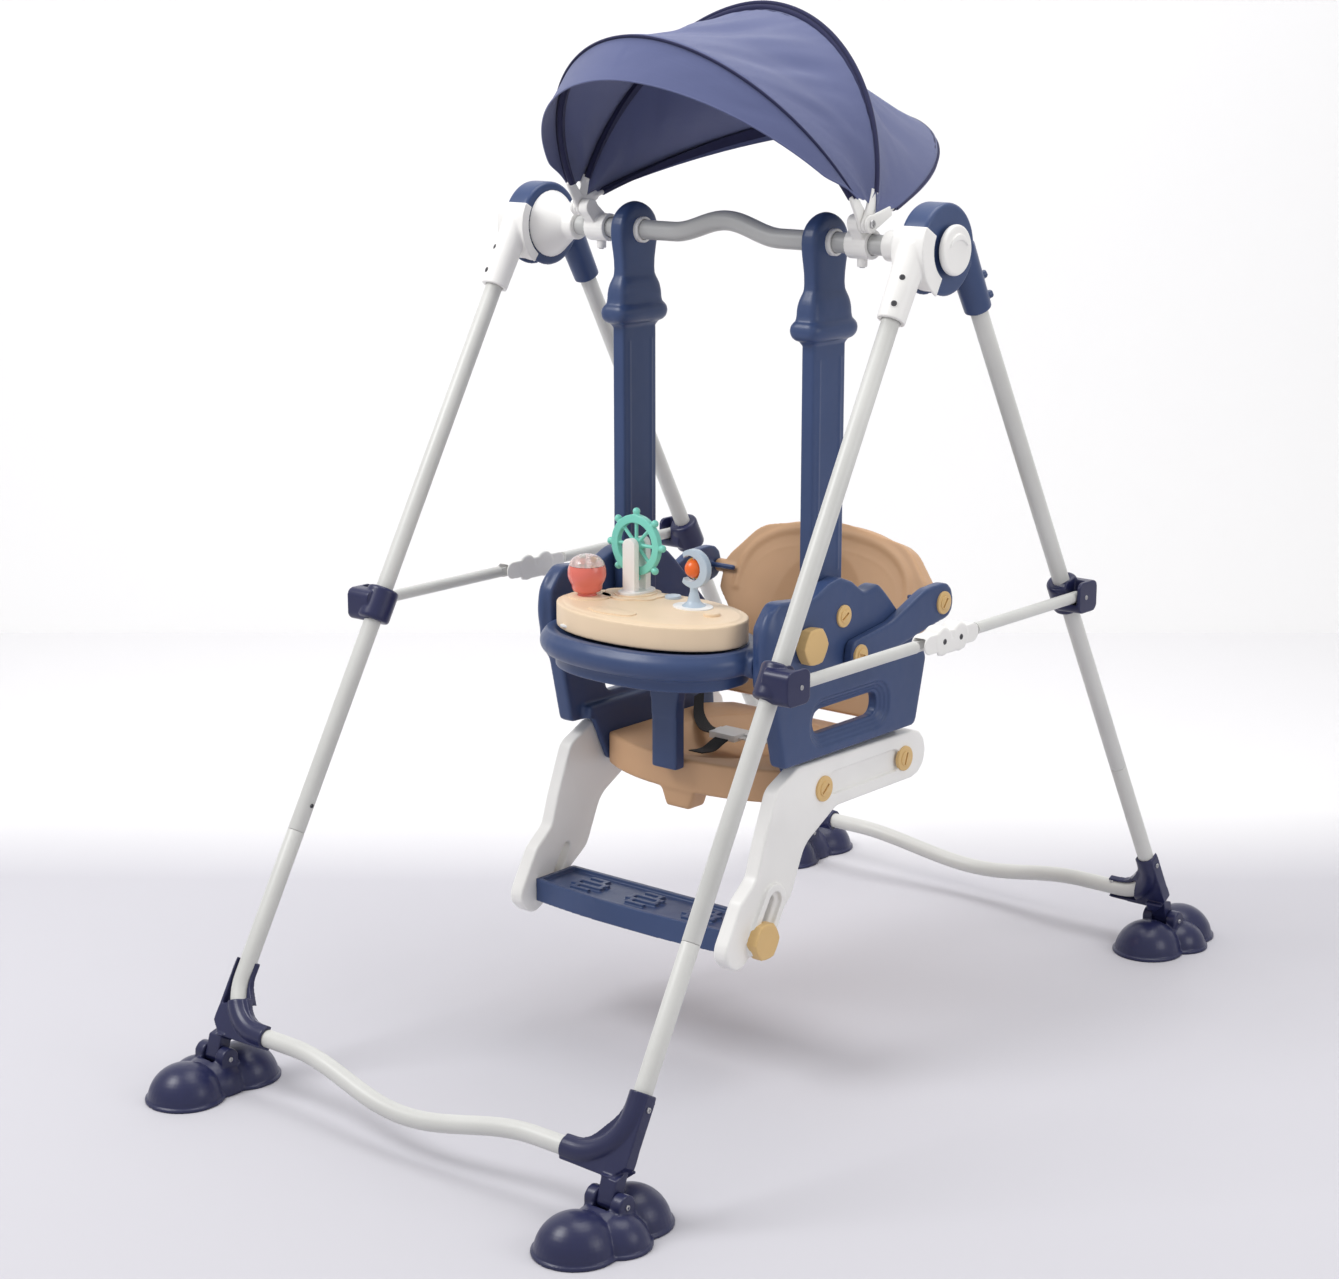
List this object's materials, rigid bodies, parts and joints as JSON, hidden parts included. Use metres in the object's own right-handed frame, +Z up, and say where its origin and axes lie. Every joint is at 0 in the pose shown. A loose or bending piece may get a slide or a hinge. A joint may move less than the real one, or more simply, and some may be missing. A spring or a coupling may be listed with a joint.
{
  "type": "baby swing chair",
  "caption": "Folding A-frame baby swing with a tilting canopy, hanging seat with play tray and toys, footrest, braced legs and tilting domed feet.",
  "frame": {"origin": "on the floor, at the middle of the frame", "axes": "+X across the swing to its right as pictured, +Y from the front to the back, +Z up"},
  "size_m": [0.7576, 1.407, 1.3106],
  "materials": {
    "seat_blue": "satin moulded plastic",
    "frame_navy": "satin moulded plastic",
    "leg_grey": "powder-coated steel tube",
    "bar_grey": "powder-coated steel tube",
    "white": "satin moulded plastic",
    "beige": "satin moulded plastic",
    "tray_beige": "satin moulded plastic",
    "knob_yellow": "satin moulded plastic",
    "canopy_fabric": "woven polyester",
    "mint": "glossy moulded plastic",
    "coral": "glossy moulded plastic",
    "orange": "glossy moulded plastic",
    "pale_blue": "glossy moulded plastic"
  },
  "bodies": {
    "front_frame": {"upper_leg_front_left": "leg_grey", "upper_leg_front_right": "leg_grey", "base_rail_front": "leg_grey", "front_hub_left": "white", "front_hub_right": "white", "top_bar": "bar_grey", "corner_bracket_front_left": "frame_navy", "corner_bracket_front_right": "frame_navy", "brace_clamp_front_left": "frame_navy", "brace_clamp_front_right": "frame_navy"},
    "rear_frame": {"upper_leg_rear_left": "leg_grey", "upper_leg_rear_right": "leg_grey", "base_rail_rear": "leg_grey", "rear_hub_left": "seat_blue", "rear_hub_right": "seat_blue", "corner_bracket_rear_left": "frame_navy", "corner_bracket_rear_right": "frame_navy", "brace_clamp_rear_left": "frame_navy", "brace_clamp_rear_right": "frame_navy"},
    "front_left_foot": {"foot_front_left": "frame_navy"},
    "front_right_foot": {"foot_front_right": "frame_navy"},
    "rear_left_foot": {"foot_rear_left": "frame_navy"},
    "rear_right_foot": {"foot_rear_right": "frame_navy"},
    "left_button": {"hub_button_left": "white"},
    "right_button": {"hub_button_right": "white"},
    "left_front_brace": {"brace_tube_front_left": "leg_grey"},
    "right_front_brace": {"brace_tube_front_right": "leg_grey"},
    "left_coupler": {"brace_coupler_left": "white"},
    "right_coupler": {"brace_coupler_right": "white"},
    "left_rear_brace": {"brace_tube_rear_left": "leg_grey"},
    "right_rear_brace": {"brace_tube_rear_right": "leg_grey"},
    "canopy": {"canopy_bracket_left": "white", "canopy_bracket_right": "white", "bow_middle": "white"},
    "front_bow": {"bow_front": "white", "canopy_front": "canopy_fabric"},
    "rear_bow": {"bow_rear": "white", "canopy_rear": "canopy_fabric"},
    "seat": {"hanger_left": "seat_blue", "hanger_right": "seat_blue", "side_panel_left": "seat_blue", "side_panel_right": "seat_blue", "back_link_left": "seat_blue", "back_link_right": "seat_blue", "leg_extension_left": "white", "leg_extension_right": "white", "seat_pan": "beige", "seat_back": "beige"},
    "footrest": {"footrest": "seat_blue"},
    "left_footrest_knob": {"footrest_knob_left": "knob_yellow"},
    "right_footrest_knob": {"footrest_knob_right": "knob_yellow"},
    "left_tray_knob": {"tray_knob_left": "knob_yellow"},
    "right_tray_knob": {"tray_knob_right": "knob_yellow"},
    "tray": {"tray_guard": "seat_blue", "play_tray": "tray_beige", "wheel_stand": "white", "crescent_stand": "pale_blue", "toy_dome": "coral"},
    "wheel": {"toy_wheel": "mint"},
    "ball": {"toy_ball": "orange"}
  },
  "joints": [
    {"name": "rear_fold", "type": "hinge", "parent": "front_frame", "child": "rear_frame", "pos_m": [0, 0, 1.026], "axis": [-1, 0, 0], "range_deg": [0, 50]},
    {"name": "foot_tilt_front_left", "type": "hinge", "parent": "front_frame", "child": "front_left_foot", "pos_m": [-0.323, -0.6, 0.04], "axis": [1, 0, 0], "range_deg": [-12, 12]},
    {"name": "foot_tilt_front_right", "type": "hinge", "parent": "front_frame", "child": "front_right_foot", "pos_m": [0.323, -0.6, 0.04], "axis": [1, 0, 0], "range_deg": [-12, 12]},
    {"name": "foot_tilt_rear_left", "type": "hinge", "parent": "rear_frame", "child": "rear_left_foot", "pos_m": [-0.323, 0.6, 0.04], "axis": [1, 0, 0], "range_deg": [-12, 12]},
    {"name": "foot_tilt_rear_right", "type": "hinge", "parent": "rear_frame", "child": "rear_right_foot", "pos_m": [0.323, 0.6, 0.04], "axis": [1, 0, 0], "range_deg": [-12, 12]},
    {"name": "button_left", "type": "slide", "parent": "front_frame", "child": "left_button", "axis": [1, 0, 0], "range_m": [0, 0.004], "stiffness_N_per_m": 400, "springref_m": -0.003},
    {"name": "button_right", "type": "slide", "parent": "front_frame", "child": "right_button", "axis": [-1, 0, 0], "range_m": [0, 0.004], "stiffness_N_per_m": 400, "springref_m": -0.003},
    {"name": "front_brace_left", "type": "hinge", "parent": "front_frame", "child": "left_front_brace", "pos_m": [-0.34, -0.3, 0.5618], "axis": [-1, 0, 0], "range_deg": [-53, 0]},
    {"name": "front_brace_right", "type": "hinge", "parent": "front_frame", "child": "right_front_brace", "pos_m": [0.34, -0.3, 0.5618], "axis": [-1, 0, 0], "range_deg": [-53, 0]},
    {"name": "coupler_left", "type": "hinge", "parent": "left_front_brace", "child": "left_coupler", "pos_m": [-0.34, -0.0165, 0.5618], "axis": [-1, 0, 0], "range_deg": [0, 78]},
    {"name": "coupler_right", "type": "hinge", "parent": "right_front_brace", "child": "right_coupler", "pos_m": [0.34, -0.0165, 0.5618], "axis": [-1, 0, 0], "range_deg": [0, 78]},
    {"name": "rear_brace_left", "type": "hinge", "parent": "rear_frame", "child": "left_rear_brace", "pos_m": [-0.34, 0.3, 0.5618], "axis": [-1, 0, 0], "range_deg": [0, 53]},
    {"name": "rear_brace_right", "type": "hinge", "parent": "rear_frame", "child": "right_rear_brace", "pos_m": [0.34, 0.3, 0.5618], "axis": [-1, 0, 0], "range_deg": [0, 53]},
    {"name": "canopy_tilt", "type": "hinge", "parent": "front_frame", "child": "canopy", "pos_m": [0, 0, 1.026], "axis": [1, 0, 0], "range_deg": [-15, 15]},
    {"name": "front_bow_fold", "type": "hinge", "parent": "canopy", "child": "front_bow", "pos_m": [0, -0.02, 1.052], "axis": [-1, 0, 0], "range_deg": [0, 38], "deforming": ["canopy_front"]},
    {"name": "rear_bow_fold", "type": "hinge", "parent": "canopy", "child": "rear_bow", "pos_m": [0, -0.02, 1.052], "axis": [1, 0, 0], "range_deg": [0, 36], "deforming": ["canopy_rear"]},
    {"name": "swing", "type": "hinge", "parent": "front_frame", "child": "seat", "pos_m": [0, 0, 1.026], "axis": [1, 0, 0], "range_deg": [-25, 25]},
    {"name": "tray_lift", "type": "hinge", "parent": "seat", "child": "tray", "pos_m": [0, -0.072, 0.542], "axis": [-1, 0, 0], "range_deg": [0, 80]},
    {"name": "tray_knob_left", "type": "hinge", "parent": "seat", "child": "left_tray_knob", "pos_m": [-0.187, -0.072, 0.542], "axis": [-1, 0, 0], "continuous": true},
    {"name": "tray_knob_right", "type": "hinge", "parent": "seat", "child": "right_tray_knob", "pos_m": [0.187, -0.072, 0.542], "axis": [1, 0, 0], "continuous": true},
    {"name": "footrest_slide", "type": "slide", "parent": "seat", "child": "footrest", "axis": [0, 0.525, 0.8511], "range_m": [0, 0.05]},
    {"name": "footrest_knob_left", "type": "hinge", "parent": "footrest", "child": "left_footrest_knob", "pos_m": [-0.18, -0.157, 0.184], "axis": [-1, 0, 0], "continuous": true},
    {"name": "footrest_knob_right", "type": "hinge", "parent": "footrest", "child": "right_footrest_knob", "pos_m": [0.18, -0.157, 0.184], "axis": [1, 0, 0], "continuous": true},
    {"name": "wheel_turn", "type": "hinge", "parent": "tray", "child": "wheel", "pos_m": [-0.064, -0.1, 0.64], "axis": [0, -1, 0], "continuous": true},
    {"name": "ball_turn", "type": "hinge", "parent": "tray", "child": "ball", "pos_m": [0.04, -0.112, 0.625], "axis": [0, 0, 1], "continuous": true}
  ],
  "couplings": [
    {"joint": "front_brace_left", "follows": "rear_fold", "ratio": -1.059},
    {"joint": "front_brace_right", "follows": "rear_fold", "ratio": -1.059},
    {"joint": "coupler_left", "follows": "rear_fold", "ratio": 1.559},
    {"joint": "coupler_right", "follows": "rear_fold", "ratio": 1.559},
    {"joint": "rear_brace_left", "follows": "rear_fold", "ratio": 1.059},
    {"joint": "rear_brace_right", "follows": "rear_fold", "ratio": 1.059}
  ]
}
